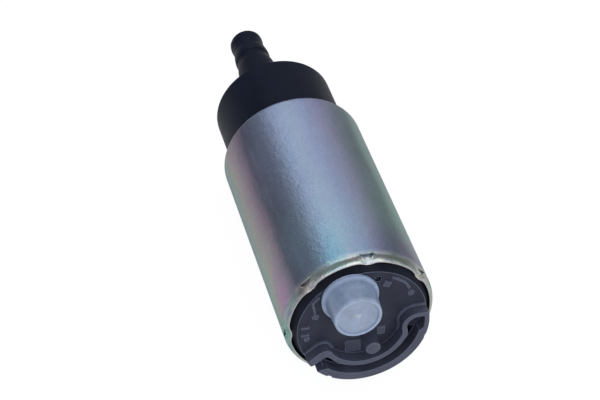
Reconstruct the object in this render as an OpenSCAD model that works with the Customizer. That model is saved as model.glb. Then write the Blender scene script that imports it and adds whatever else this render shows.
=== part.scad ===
// Electric in-tank fuel pump: a turbine pump and its motor in one rolled steel case.
// The pump's axis runs along Y. The inlet faces -Y and the outlet faces +Y.
// The origin is on the axis, in the middle of the straight stretch of the case that a clamp holds.
// A station is a distance along the axis from the inlet edge of the case towards the outlet.

/* [Case] */
// Outside diameter of the steel case
case_d = 38; // [37:0.1:40]
// Length of the case from its inlet lip to its rolled outlet edge
case_len = 65.2; // [64:0.1:75]
// Wall of the case around the motor
case_wall = 1.5; // [1.3:0.05:1.7]
// Wall of the thinned ends of the case
end_wall = 0.85; // [0.6:0.05:1]
// Radius of the curl that turns the inlet lip inwards
curl_r = 2; // [1.6:0.1:2.4]
// Angle through which the inlet lip is turned
curl_angle = 66; // [50:1:70]
// Gap between the rolled outlet edge and the side of the outlet cover
roll_gap = 0.15; // [0.1:0.05:0.5]
// Number of stakes that lock the inlet cover
stake_count = 7; // [3:1:7]
// Angle from one stake to the next
stake_step = 50; // [40:1:51]
// Angle of the first stake
stake_start = 34.5; // [20:0.5:50]
// Width of a stake mark
stake_w = 3.6; // [2:0.1:5]
// Depth of a stake mark
stake_depth = 0.6; // [0.3:0.05:0.65]

/* [Inlet cover] */
// How far the face of the inlet cover stands out of the case
face_proud = 1.8; // [1:0.1:3]
// Diameter of the flat face of the inlet cover
face_d = 32.6; // [31:0.1:33]
// Thickness of the inlet cover
inlet_cover_t = 6.8; // [6.4:0.1:8.5]
// Angle of the inlet nozzle and the outlet spigot about the pump axis
port_angle = 109; // [104:1:114]
// Distance of the inlet nozzle and the outlet spigot from the pump axis
port_r = 10.2; // [9.8:0.1:10.5]
// Outside diameter of the inlet nozzle
nozzle_d = 10; // [9:0.1:11]
// Bore of the inlet nozzle
nozzle_bore = 7.2; // [6:0.1:7.8]
// Length of the inlet nozzle
nozzle_len = 6.3; // [5:0.1:9]
// Diameter of the pin that carries the strainer
pin_d = 3.7; // [2.5:0.1:4]
// Length of the strainer pin
pin_len = 6; // [4:0.1:8]
// Distance of the strainer pin from the pump axis
pin_r = 3.7; // [3:0.05:4.5]
// Angle of the strainer pin
pin_angle = -71; // [-80:0.5:-60]

/* [Rail on the inlet cover] */
// Height of the rail above the face
rail_h = 3.1; // [2:0.1:5]
// Radius of the rail's inner wall, on the side of the nozzle
rail_r = 10.05; // [9.5:0.05:10.5]
// Thickness of the inner wall
rail_wall = 1.3; // [1:0.05:1.8]
// Width of the channel between the walls
rail_gap = 2.65; // [1.8:0.05:2.8]
// Depth of the channel floor below the face
rail_floor = 2; // [0.5:0.1:2.4]
// Angle at which the outer wall starts
rail_outer_start = 221; // [218:0.5:224]
// Thickness of the leg at the open side
leg_w = 2.03; // [1.2:0.05:2.2]
// Thickness of the leg at the closed side and of the thin wall that meets it
thin_w = 1.15; // [0.8:0.05:1.3]

/* [Inlet cap] */
// Diameter of the cap's flange
cap_flange_d = 14.3; // [13:0.1:15]
// Thickness of the cap's flange
cap_flange_t = 1.2; // [0.8:0.1:2]
// Diameter of the cap where its body meets the flange
cap_body_d = 12.7; // [12:0.1:12.9]
// Diameter of the cap at its end
cap_end_d = 11.7; // [11.2:0.1:12]
// Thickness of the cap's end wall
cap_end_t = 0.9; // [0.4:0.1:1]
// Height of the rim around the cap's end wall
cap_rim_h = 0.5; // [0.2:0.1:1]

/* [Turbine] */
// Thickness of the ring around the impeller
ring_t = 4; // [3:0.1:5]
// Wall of the ring around the impeller
ring_wall = 2.35; // [1.8:0.05:3.5]
// Number of gaps between the impeller's blades
blade_gaps = 31; // [15:2:37]
// Thickness of the casing plate behind the impeller
casing_t = 4.5; // [4:0.1:6]
// Depth of the pumping channel on each side of the impeller
channel_depth = 1.3; // [0.8:0.1:1.6]

/* [Motor] */
// Diameter of the rotor shaft
shaft_d = 4; // [3:0.1:4.4]
// Outside diameter of the bearing bushes
bush_d = 7; // [6.4:0.1:7.4]
// Length of a bearing bush
bush_len = 6.5; // [5:0.1:7]
// Thickness of a magnet
magnet_t = 3.65; // [3.2:0.05:4.4]
// Length of the armature core
core_len = 22; // [16:0.5:24]
// Number of armature slots and commutator segments
slot_count = 8; // [6:1:12]
// Length of the windings beyond the core, at each end
overhang = 3.2; // [2.4:0.1:3.6]
// Gap between the armature and the magnets
air_gap = 0.5; // [0.3:0.05:0.8]
// Angle that each magnet covers
magnet_angle = 130; // [110:1:140]
// Length of a magnet beyond the core, at each end
magnet_over = 3; // [1:0.1:3.5]
// Diameter of the commutator
commutator_d = 21; // [20:0.1:23]
// Thickness of the commutator's base
commutator_t = 4.5; // [3:0.1:5]
// Thickness of the commutator's segments
segment_t = 1.8; // [1:0.1:2]

/* [Brushes] */
// Distance of a brush's middle from the pump axis
brush_r = 7.2; // [7:0.05:7.5]
// Size of a brush across the radius
brush_w = 5; // [4:0.1:5.2]
// Size of a brush along the radius
brush_depth = 4.2; // [3.4:0.1:4.4]
// Length of a new brush
brush_len = 9.2; // [7:0.1:10]
// Length of a brush's spring at rest
brush_spring_len = 8.5; // [7:0.1:9]
// Thickness of the brush holder's flange
holder_t = 2.6; // [2:0.1:4]

/* [Outlet cover] */
// Step from the outlet cover's flange in to its side above the case
cover_step = 1.9; // [1.8:0.1:2.4]
// Height of the outlet cover above the case
cover_h = 20.2; // [19.8:0.1:25]
// Thickness of the outlet cover's flange inside the case
cover_flange_t = 2.65; // [2.4:0.05:3.5]
// Side wall of the outlet cover
cover_wall = 1.8; // [1.2:0.1:2.2]
// Top wall of the outlet cover
cover_top_t = 2; // [1.5:0.1:2.5]
// Size of the connector socket along the radius
socket_l = 8.2; // [7.6:0.1:8.4]
// Size of the connector socket across the radius
socket_w = 9.2; // [8.4:0.1:9.6]
// Depth of the connector socket
socket_depth = 9; // [8:0.1:9.4]
// Width of a terminal blade
blade_w = 2.8; // [2:0.1:3]
// Thickness of a terminal blade
blade_t = 0.6; // [0.5:0.05:0.8]

/* [Outlet spigot] */
// Length of the outlet spigot above the cover
spigot_len = 19.3; // [19:0.1:28]
// Diameter of the spigot's largest barb
barb_d = 9.65; // [9.4:0.05:9.9]
// Diameter of the barb at the spigot's tip
tip_d = 9.04; // [8.9:0.02:9.2]
// Diameter of the spigot between its barbs
neck_d = 8.75; // [8.6:0.05:8.85]
// Diameter of the spigot's root above the foot
root_d = 10.3; // [9.9:0.1:10.7]
// Diameter of the foot where the spigot leaves the cover
foot_d = 11.8; // [11.4:0.1:12]
// Bore of the spigot
spigot_bore = 5.8; // [5.4:0.1:6]

/* [Valves] */
// Bore of the seat under the check valve
check_seat_bore = 3.4; // [2.5:0.1:3.6]
// Diameter of the check valve's head
check_d = 5; // [4.6:0.1:5.1]
// Opening travel of the check valve
check_travel = 2; // [1:0.1:2.2]
// Diameter of the relief valve's ball
ball_d = 3.2; // [3:0.1:3.6]
// Bore of the seat under the relief ball
relief_seat_bore = 2.4; // [1.8:0.1:2.5]
// Bore of the relief valve's chamber
relief_bore = 4.4; // [4.1:0.1:4.6]
// Opening travel of the relief ball
relief_travel = 1; // [0.5:0.1:1.2]

/* [Hidden] */
$fn = 96;

// Clearances
seat_gap = 0.05;
running_gap = 0.03;
slide_gap = 0.15;
touch_gap = 0.05;
eps = 0.01;

// Case
case_r = case_d / 2;
seat_r = case_r - end_wall;
bore_r = case_r - case_wall;
fit_r = seat_r - seat_gap;
curl_rise = curl_r * sin(curl_angle);
roll_corner = 0.9;
cover_r = fit_r - cover_step;
roll_r = cover_r + roll_gap;
origin_s = (curl_rise + case_len - roll_corner) / 2;

// Stations of the inlet end
face_s = -face_proud;
rail_s = face_s - rail_h;
nozzle_s = face_s - nozzle_len;
cap_base_s = face_s - touch_gap;
cap_wall_s = nozzle_s - touch_gap - slide_gap;
cap_end_s = cap_wall_s - cap_end_t - cap_rim_h;
inlet_back_s = face_s + inlet_cover_t;
ring_back_s = inlet_back_s + ring_t;
casing_back_s = ring_back_s + casing_t;

// Stations of the outlet end
roll_s = case_len - end_wall;
cover_seat_s = roll_s - cover_flange_t;
out_seat_s = cover_seat_s - holder_t;
cover_top_s = case_len + cover_h;
spigot_tip_s = cover_top_s + spigot_len;

// Shaft and bearings
shaft_r = shaft_d / 2;
button_t = 0.8;
button_depth = 2.6;
shaft_start_s = inlet_back_s - button_depth + button_t + touch_gap;
hub_r = bush_d / 2 + 1.2;
hub_len = 3.5;
lower_bush_s = casing_back_s + hub_len - bush_len;
upper_bush_s = out_seat_s + 1;
shaft_end_s = upper_bush_s + bush_len - 0.3;
hub_end_s = upper_bush_s + bush_len + 1.5;

// Armature
comm_face_s = out_seat_s - 0.7;
segment_s = comm_face_s - segment_t;
comm_base_s = segment_s - commutator_t;
wind_end_s = comm_base_s - 0.6;
core_end_s = wind_end_s - overhang;
core_s = core_end_s - core_len;
wind_s = core_s - overhang;
magnet_out_r = bore_r - seat_gap;
magnet_in_r = magnet_out_r - magnet_t;
core_r = magnet_in_r - air_gap;
insulator_t = 0.7;
slot_r = core_r - 1.6;
root_r = 5.6;
tooth_w = 2.6;
slit_w = 1.6;

// Turbine
impeller_r = fit_r - ring_wall - slide_gap;
channel_out_r = impeller_r - 0.2;
channel_in_r = impeller_r - 3;
port_hole_r = (channel_out_r - channel_in_r) / 2 - 0.2;
impeller_gap = 0.07;
rim_w = 0.7;

// Brush gear, measured in a frame turned to the socket's side of the pump
socket_angle = port_angle + 180;
brush_s = comm_face_s + touch_gap;
brush_end_s = brush_s + brush_len;
spring_end_s = brush_end_s + brush_spring_len;
tube_wall = 0.8;
tube_end_s = spring_end_s + 1.2;
choke_angle = 38;
choke_core_r = 1.5;
choke_wire_r = 0.35;
choke_coil_r = (choke_core_r + choke_wire_r + 0.05) / cos(22.5);

// Outlet cover
cavity_r = cover_r - cover_wall;
choke_r = cavity_r - 3.7;
tub_wall = 1.1;
socket_out = cavity_r - 0.9;
socket_in = socket_out - socket_l;
socket_floor_s = cover_top_s - socket_depth;
tub_s = socket_floor_s - tub_wall;
blade_x = socket_in + 2.4;
blade_y = 2.4;
tail_s = tub_s - 1.4;
choke_end_s = tail_s - touch_gap;
choke_s = cover_seat_s;

// Valves
check_seat_s = cover_top_s + 0.8;
check_head_t = 1.7;
check_s = check_seat_s + touch_gap;
stem_r = 0.9;
check_retainer_s = spigot_tip_s - 7.7;
check_retainer_t = 2.2;
relief_angle = 62;
relief_r = cavity_r - 4;
relief_seat_s = cover_top_s - 6.9;
relief_plug_t = 1.4;
relief_plug_s = cover_top_s - 0.5 - relief_plug_t;
ball_r = ball_d / 2;
ball_s = relief_seat_s + sqrt(ball_r * ball_r - pow(relief_seat_bore / 2, 2)) + touch_gap;

// Colours
steel_color = [0.56, 0.60, 0.68];
cover_color = [0.25, 0.26, 0.31];
black_color = [0.12, 0.13, 0.17];
cap_color = [0.62, 0.70, 0.84];
copper_color = [0.72, 0.45, 0.28];
core_color = [0.45, 0.46, 0.48];
ferrite_color = [0.20, 0.20, 0.21];
brass_color = [0.78, 0.66, 0.38];
carbon_color = [0.15, 0.15, 0.16];
plastic_color = [0.16, 0.17, 0.19];
wire_color = [0.66, 0.67, 0.70];

// Turns the shapes drawn around the Z axis so that the pump lies along Y
module place()
    translate([0, -origin_s, 0]) rotate([90, 0, 0]) children();

// Moves a shape to a station
module station(s) translate([0, 0, -s]) children();

// Moves a shape to a distance and an angle about the pump axis
module polar(r, a) rotate([0, 0, a]) translate([r, 0, 0]) children();

// A round rod between two stations
module rod(r, s0, s1) translate([0, 0, -s1]) cylinder(r = r, h = s1 - s0);

// A round sleeve between two stations
module sleeve(outer_r, inner_r, s0, s1) {
    difference() {
        rod(outer_r, s0, s1);
        rod(inner_r, s0 - 1, s1 + 1);
    }
}

// A turned body from [radius, station] points
module turned(points) rotate_extrude() polygon([for (p = points) [p[0], -p[1]]]);

// Part of a turned ring with a square section
module ring_piece(r0, r1, s0, s1, from, sweep)
    rotate([0, 0, from]) rotate_extrude(angle = sweep)
        polygon([[r0, -s0], [r1, -s0], [r1, -s1], [r0, -s1]]);

// A block between two stations, given by its middle and its size
module block(middle, size, s0, s1)
    translate([middle[0] - size[0] / 2, middle[1] - size[1] / 2, -s1]) cube([size[0], size[1], s1 - s0]);

// Points of an arc around a centre
function arc_points(center, r, from, to, count) =
    [for (i = [0:count]) center + r * [cos(from + (to - from) * i / count), sin(from + (to - from) * i / count)]];

// A band that follows a path with the width given at each point
module band(path, widths) {
    last = len(path) - 1;
    sides = [for (i = [0:last])
        let (d = path[min(i + 1, last)] - path[max(i - 1, 0)], n = [-d[1], d[0]] / norm(d))
        n * widths[i] / 2];
    polygon(concat(
        [for (i = [0:last]) path[i] + sides[i]],
        [for (i = [last:-1:0]) path[i] - sides[i]]));
}

// A round wire along a path whose direction is never parallel to the reference
module wire(path, r, reference, sides = 6) {
    last = len(path) - 1;
    rings = [for (i = [0:last])
        let (
            d = path[min(i + 1, last)] - path[max(i - 1, 0)],
            t = d / norm(d),
            u = cross(t, reference) / norm(cross(t, reference)),
            v = cross(t, u))
        for (k = [0:sides - 1]) path[i] + r * (cos(360 * k / sides) * u + sin(360 * k / sides) * v)];
    walls = [for (i = [0:last - 1]) for (k = [0:sides - 1])
        let (a = i * sides + k, b = i * sides + (k + 1) % sides)
        each [[a, a + sides, b], [b, a + sides, b + sides]]];
    caps = [for (k = [1:sides - 2]) each [[0, k, k + 1], [last * sides, last * sides + k + 1, last * sides + k]]];
    polyhedron(points = rings, faces = concat(walls, caps), convexity = 6);
}

// A coil spring or choke winding that stands between two stations
module coil(coil_r, wire_r, s0, s1, curls) {
    steps = curls * 8;
    rise = (s1 - s0 - 2 * wire_r) / steps;
    wire([for (i = [0:steps])
        [coil_r * cos(45 * i), coil_r * sin(45 * i), -(s0 + wire_r + rise * i)]], wire_r, [0, 0, 1]);
}

// The case

// Profile of the case wall as [radius, station] points
function case_profile() =
    let (
        curl_center = [case_r - curl_r, curl_rise],
        outer_curl = arc_points(curl_center, curl_r, -curl_angle, 0, 8),
        outer_roll = arc_points([case_r - roll_corner, case_len - roll_corner], roll_corner, 0, 90, 6),
        inner_curl = arc_points(curl_center, curl_r - end_wall, 0, -curl_angle, 6))
    concat(
        outer_curl,
        outer_roll,
        [
            [roll_r, case_len],
            [roll_r, roll_s],
            [seat_r, roll_s],
            [seat_r, out_seat_s],
            [bore_r, out_seat_s],
            [bore_r, casing_back_s],
            [seat_r, casing_back_s]
        ],
        inner_curl);

// Radius of the inlet cover's chamfer at a station
function chamfer_r(s) = face_d / 2 + (fit_r - face_d / 2) * (s - face_s) / (curl_rise + 0.7 - face_s);

module stake_mark() {
    rotate([90, 0, 90]) translate([0, 0, case_r - stake_depth]) linear_extrude(height = 2)
        polygon([[-stake_w / 2, -curl_rise - 0.15], [stake_w / 2, -curl_rise - 0.15], [0, -0.1]]);
}

module stake_lug() {
    lug_angle = 2 * atan(stake_w / 2 / case_r) * 1.2;
    lug_s = 0.05;
    lug_end_s = curl_rise * 0.7;
    rotate([0, 0, -lug_angle / 2]) rotate_extrude(angle = lug_angle) polygon([
        [chamfer_r(lug_s) + touch_gap, -lug_s],
        [case_r - curl_r + curl_r * cos(curl_angle) + 0.04, -lug_s],
        [seat_r + 0.1, -lug_end_s],
        [chamfer_r(lug_end_s) + touch_gap, -lug_end_s]]);
}

module case_shell() {
    color(steel_color) place() difference() {
        union() {
            turned(case_profile());
            for (i = [0:stake_count - 1]) rotate([0, 0, stake_start + stake_step * i]) stake_lug();
        }
        for (i = [0:stake_count - 1]) rotate([0, 0, stake_start + stake_step * i]) stake_mark();
    }
}

// The inlet cover and its cap

rail_out_r = face_d / 2 - 0.1;
trim_r = rail_out_r;
floor_ledge = 0.1;
outer_in_r = rail_r + rail_wall + rail_gap;
thick_end = 351.5;
thin_start = thick_end - 1.5;

// Middle line of the leg at the open side, from outside the rim to the inner wall, for a rail of 10.05 mm
open_path = [[-18.3, -11.55], [-11.5, -6.14], [-10.85, -5.68], [-10.25, -5.44], [-9.65, -5.42],
    [-9.15, -5.65], [-8.75, -6.1], [-8.3, -6.6], [-7.95, -6.95], [-7.5, -7.5]];
open_w = [leg_w, leg_w, leg_w * 1.01, leg_w * 1.03, leg_w * 1.01, leg_w * 0.91, leg_w * 0.74,
    rail_wall * 0.99, rail_wall * 0.97, rail_wall * 1.06];

// Middle line of the leg at the closed side, in the same way
closed_path = [[20, 1.4], [14.6, 2.02], [13.3, 2.06], [12.5, 1.97], [11.75, 1.7], [11.05, 1.27], [10.5, 0.7],
    [10.08, 0], [9.9, -0.8], [9.97, -1.7], [10.12, -2.6], [10.08, -3.55], [9.8, -4.6]];
closed_w = [for (i = [0:12]) i < 9 ? thin_w : thin_w + (rail_wall * 1.06 - thin_w) * (i - 8) / 4];

module leg(path, widths, extra, s0, s1)
    station(s1) linear_extrude(height = s1 - s0) scale(rail_r / 10.05)
    band(path, [for (i = [0:len(path) - 1]) widths[i] + extra]);

// Walls of the rail, taller than needed, for the rod that trims them
module rail_walls() {
    inner_start = 225.5;
    inner_end = 335.5;
    ring_piece(rail_r, rail_r + rail_wall, rail_s - 1, face_s + 0.6, inner_start, inner_end - inner_start);
    ring_piece(outer_in_r, trim_r + 2, rail_s - 1, face_s + 0.6, rail_outer_start, thick_end - rail_outer_start);
    ring_piece(trim_r - thin_w, trim_r + 2, rail_s - 1.5, face_s + 0.5, thin_start, 17);
    intersection() {
        rod(rail_out_r - 0.02, rail_s - 1.2, face_s + 0.4);
        leg(open_path, open_w, 0, rail_s - 2, face_s + 0.5);
    }
    leg(closed_path, closed_w, 0, rail_s - 2, face_s + 0.4);
}

module rail() {
    module cut(points) station(face_s + 1) linear_extrude(height = rail_h + 4)
        scale(rail_r / 10.05) polygon(points);
    // Low foot of the legs on the face
    intersection() {
        rod(rail_out_r - 0.04, face_s - 0.35, face_s + eps);
        union() {
            leg([for (i = [0:8]) open_path[i]], open_w, 0.8, face_s - 1, face_s + 0.3);
            leg(closed_path, closed_w, 0.7, face_s - 1, face_s + 0.3);
        }
    }
    difference() {
        intersection() {
            rod(trim_r, rail_s, face_s + eps);
            rail_walls();
        }
        // Slanted end of the outer wall and cut corner of the open leg
        cut([[-14.5, -11.17], [-9.3, -10.46], [-10.1, -9.2], [-12.2, -9.6], [-14.5, -11]]);
        cut([[-14.6, -8.85], [-12.3, -8.47], [-12.15, -8.9], [-14.5, -10.7]]);
        // Slanted step where the thick wall meets the thin wall
        cut([[14.97, -2.2], [14.1, -3.05], [13.5, -3.2], [13.3, -1.7], [14.97, -1.7]]);
    }
}

// Shallow steps in the outside of the rail
module rail_steps() {
    module flat(angle, depth, wide) polar(rail_out_r - depth, angle)
        station(face_s - 0.8) linear_extrude(height = rail_h + 1)
        polygon([
            [0, -wide / 3], [0.6, -wide * 0.9], [2, -wide * 0.9],
            [2, wide * 0.9], [0.6, wide * 0.9], [0, wide / 3]]);
    flat(236.5, 0.32, 1.3);
    flat(341, 0.12, 1.6);
}

// Raised ribs and bosses on the face, as [x, y] places on a face of 32.6 mm that grow with it
module face_details() {
    detail_h = 0.35;
    rib_w = 0.5;
    grow = face_d / 32.6;
    module raised() station(face_s + eps) linear_extrude(height = detail_h + eps) scale(grow) children();
    // Hooked rib and round boss beside the nozzle
    raised() band([[-10.9, 11], [-12.5, 9.4], [-12, 6.9], [-11.9, 5.6]], [rib_w, rib_w, rib_w, rib_w]);
    polar(12.9 * grow, 156.5) rod(0.85, face_s - detail_h - 0.2, face_s + eps);
    // Two short ribs and a round boss at the left
    for (y = [1.5, -0.9]) raised() translate([-15.3, y]) square([1.9, rib_w]);
    polar(14.1 * grow, 188) rod(0.7, face_s - detail_h, face_s + eps);
    // Curved rib and boss at the upper right
    raised() band(
        concat(arc_points([0, 0], 15.2, 62, 47, 5), [[10.9, 10.4], [11.6, 8.9]]),
        [for (i = [0:7]) rib_w]);
    polar(14.1 * grow, 31) rod(0.8, face_s - detail_h, face_s + eps);
    raised() polar(13, 63) square([1.5, 1.8], center = true);
    // Block beside the strainer pin
    raised() translate([4.8, -3.6]) square([1.9, 2.3], center = true);
    // Low pad below the nozzle, clear of what is pushed onto the strainer pin
    station(face_s + eps) linear_extrude(height = 0.3) translate([-2.3, -7.2]) square([3.9, 3.6], center = true);
}

module strainer_pin() {
    tip_s = face_s - pin_len;
    polar(pin_r, pin_angle) turned([
        [0, face_s + eps], [pin_d / 2, face_s + eps], [pin_d / 2, tip_s + 0.2],
        [pin_d / 2 - 0.2, tip_s], [0, tip_s]]);
}

module inlet_cover() {
    port_s = inlet_back_s - 3.4;
    channel_sweep = 305;
    vent_angle = 75;
    floor_start = 228;
    color(cover_color) place() difference() {
        union() {
            turned([
                [0, face_s], [face_d / 2, face_s], [fit_r, curl_rise + 0.7],
                [fit_r, inlet_back_s], [0, inlet_back_s]]);
            polar(port_r, port_angle) rod(nozzle_d / 2, nozzle_s, face_s + eps);
            rail();
            strainer_pin();
            face_details();
        }
        rail_steps();
        // Deep floor of the channel between the rail's walls
        ring_piece(rail_r + rail_wall + floor_ledge, outer_in_r - floor_ledge,
            face_s - 0.5, face_s + rail_floor, floor_start, thick_end - 9.5 - floor_start);
        // Way in from the nozzle to the pumping channel
        polar(port_r, port_angle) rod(nozzle_bore / 2, nozzle_s - 1, port_s + 1.2);
        polar((channel_in_r + channel_out_r) / 2, port_angle) rod(port_hole_r, port_s, inlet_back_s + 1);
        ring_piece(channel_in_r, channel_out_r, inlet_back_s - channel_depth, inlet_back_s + 1,
            port_angle, channel_sweep);
        // Seat of the thrust button
        rod(2.3, inlet_back_s - button_depth, inlet_back_s + 1);
        // Vapour vent
        polar(channel_in_r + 1.4, vent_angle) rod(0.5, face_s - 1, inlet_back_s + 1);
        polar(channel_in_r + 1.4, vent_angle) block([0, 0], [1.5, 1.4], face_s - 1, face_s + 1);
    }
}

module inlet_cap() {
    bore = nozzle_d / 2 + 0.1;
    shoulder_s = cap_base_s - cap_flange_t;
    color(cap_color, 0.6) place() polar(port_r, port_angle) turned([
        [bore, cap_base_s],
        [cap_flange_d / 2, cap_base_s],
        [cap_flange_d / 2, shoulder_s + 0.3],
        [cap_flange_d / 2 - 0.25, shoulder_s],
        [cap_body_d / 2, shoulder_s],
        [cap_end_d / 2, cap_end_s + 0.3],
        [cap_end_d / 2 - 0.2, cap_end_s],
        [cap_end_d / 2 - 0.75, cap_end_s],
        [cap_end_d / 2 - 0.85, cap_end_s + cap_rim_h],
        [0, cap_end_s + cap_rim_h],
        [0, cap_wall_s],
        [bore, cap_wall_s]]);
}

// The turbine

module channel_ring() {
    color(cover_color) place() sleeve(fit_r, impeller_r + slide_gap, inlet_back_s, ring_back_s);
}

module impeller() {
    s0 = inlet_back_s + impeller_gap;
    s1 = ring_back_s - impeller_gap;
    gap_w = 2 * PI * channel_in_r / blade_gaps - 0.9;
    flat = shaft_r * 0.8 + running_gap;
    color(carbon_color) place() difference() {
        rod(impeller_r, s0, s1);
        difference() {
            rod(shaft_r + running_gap, s0 - 1, s1 + 1);
            block([flat + 5, 0], [10, 10], s0 - 2, s1 + 2);
        }
        for (i = [0:blade_gaps - 1]) rotate([0, 0, 360 * i / blade_gaps])
            block([(channel_in_r + impeller_r - rim_w) / 2, 0], [impeller_r - rim_w - channel_in_r, gap_w],
                s0 - 1, s1 + 1);
    }
}

module pump_casing() {
    hub_s = casing_back_s + hub_len;
    channel_sweep = 305;
    color(cover_color) place() difference() {
        union() {
            rod(fit_r, ring_back_s, casing_back_s);
            rod(hub_r, ring_back_s, hub_s);
        }
        rod(shaft_r + 0.3, ring_back_s - 1, hub_s + 1);
        rod(bush_d / 2, lower_bush_s, hub_s + 1);
        ring_piece(channel_in_r, channel_out_r, ring_back_s - 1, ring_back_s + channel_depth,
            port_angle, channel_sweep);
        polar((channel_in_r + channel_out_r) / 2, port_angle + channel_sweep - 6)
            rod(port_hole_r, ring_back_s - 1, casing_back_s + 1);
    }
}

module thrust_button() {
    s0 = inlet_back_s - button_depth;
    color(wire_color) place() rod(2.25, s0, s0 + button_t);
}

module bush(s0) sleeve(bush_d / 2, shaft_r + running_gap, s0, s0 + bush_len);

module lower_bearing() { color(brass_color) place() bush(lower_bush_s); }

module upper_bearing() { color(brass_color) place() bush(upper_bush_s); }

// The armature

module rotor_shaft() {
    flat_end_s = ring_back_s - impeller_gap;
    color(wire_color) place() difference() {
        turned([
            [0, shaft_start_s], [shaft_r - 0.3, shaft_start_s], [shaft_r, shaft_start_s + 0.3],
            [shaft_r, shaft_end_s - 0.3], [shaft_r - 0.3, shaft_end_s], [0, shaft_end_s]]);
        block([shaft_r * 0.8 + 5, 0], [10, 10], shaft_start_s - 1, flat_end_s);
    }
}

// Outline of one armature slot, with its opening at the rim
module slot_outline(inset) {
    half = 180 / slot_count;
    inner_w = 2 * root_r * sin(half) - tooth_w;
    outer_w = 2 * slot_r * sin(half) - tooth_w;
    polygon([
        [root_r + inset, -inner_w / 2 + inset], [slot_r - inset, -outer_w / 2 + inset],
        [slot_r - inset, outer_w / 2 - inset], [root_r + inset, inner_w / 2 - inset]]);
    if (inset == 0) translate([slot_r - 0.5, -slit_w / 2]) square([3, slit_w]);
}

module lamination(outer, s0, s1) {
    difference() {
        rod(outer, s0, s1);
        rod(shaft_r, s0 - 1, s1 + 1);
        for (i = [0:slot_count - 1]) rotate([0, 0, 360 * i / slot_count])
            station(s1 + 1) linear_extrude(height = s1 - s0 + 2) slot_outline(0);
    }
}

module armature_core() { color(core_color) place() lamination(core_r, core_s, core_end_s); }

module insulator_inlet_end() {
    color("ivory") place() lamination(core_r - 0.4, core_s - insulator_t, core_s);
}

module insulator_outlet_end() {
    color("ivory") place() lamination(core_r - 0.4, core_end_s, core_end_s + insulator_t);
}

// Copper in the slots, joined at each end by rounded heads over the insulators
module windings() {
    head_h = overhang - insulator_t;
    outer = slot_r - 0.4;
    module heads(s0, dir) {
        difference() {
            turned([
                [root_r + 0.3, s0], [outer, s0], [outer, s0 + dir * (head_h - 0.9)],
                [outer - 1.1, s0 + dir * head_h], [root_r + 1.2, s0 + dir * head_h],
                [root_r + 0.3, s0 + dir * (head_h - 0.8)]]);
            for (i = [0:slot_count - 1]) rotate([0, 0, 360 * (i + 0.5) / slot_count])
                block([outer, 0], [2 * (outer - root_r) - 2.4, 0.5], s0 - head_h - 1, s0 + head_h + 1);
        }
    }
    color(copper_color) place() union() {
        for (i = [0:slot_count - 1]) rotate([0, 0, 360 * i / slot_count])
            station(core_end_s + insulator_t + 0.3) linear_extrude(height = core_len + 2 * insulator_t + 0.6)
                slot_outline(0.25);
        heads(core_s - insulator_t, -1);
        heads(core_end_s + insulator_t, 1);
    }
}

module commutator_base() {
    color(plastic_color) place() difference() {
        union() {
            rod(commutator_d / 2, comm_base_s, segment_s);
            rod(shaft_r + 1.4, segment_s - eps, comm_face_s - 0.3);
        }
        rod(shaft_r, comm_base_s - 1, comm_face_s + 1);
    }
}

module commutator_segments() {
    slit = 0.5;
    inner_r = shaft_r + 1.6;
    color(copper_color) place() difference() {
        sleeve(commutator_d / 2, inner_r, segment_s, comm_face_s);
        for (i = [0:slot_count - 1]) rotate([0, 0, 360 * i / slot_count])
            block([commutator_d / 2, 0], [commutator_d, slit], segment_s - 1, comm_face_s + 1);
    }
}

// The magnets

magnet_s = core_s - magnet_over;
magnet_end_s = core_end_s + magnet_over;

module magnet(middle_angle)
    ring_piece(magnet_in_r, magnet_out_r, magnet_s, magnet_end_s,
        middle_angle - magnet_angle / 2, magnet_angle);

module magnet_upper() { color(ferrite_color) place() magnet(90); }

module magnet_lower() { color(ferrite_color) place() magnet(270); }

// A bent strip that presses the two magnets against the case
module magnet_clip(middle_angle) {
    strip = 0.5;
    span = 180 - magnet_angle - 1.5;
    tab = 2.2;
    start = middle_angle - span / 2;
    difference() {
        ring_piece(magnet_in_r + 0.4, magnet_out_r, magnet_s, magnet_end_s, start, span);
        ring_piece(magnet_in_r - 1, magnet_out_r - strip, magnet_s - 1, magnet_end_s + 1,
            start + tab, span - 2 * tab);
    }
}

module magnet_clip_left() { color(wire_color) place() magnet_clip(180); }

module magnet_clip_right() { color(wire_color) place() magnet_clip(0); }

// The brush gear

// Turns a shape to one side of the socket: 1 is the positive side and -1 the negative side
module brush_side(side) rotate([0, 0, socket_angle + 90 * side]) children();

// Turns a shape to the choke on one side of the socket
module choke_place(side) polar(choke_r, socket_angle + side * choke_angle) children();

module brush_tube_outline(extra)
    square([brush_depth + 2 * slide_gap + extra, brush_w + 2 * slide_gap + extra], center = true);

module brush_tube(side) {
    brush_side(side) translate([brush_r, 0]) station(tube_end_s)
        linear_extrude(height = tube_end_s - cover_seat_s + eps) brush_tube_outline(2 * tube_wall);
}

module brush_tube_cut(side) {
    lead_w = 1.6;
    brush_side(side) translate([brush_r, 0]) {
        station(spring_end_s) linear_extrude(height = spring_end_s - out_seat_s + 1) brush_tube_outline(0);
        block([brush_depth / 2 + 1, 0], [2, lead_w], brush_end_s - 2.5, spring_end_s - eps);
    }
}

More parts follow.
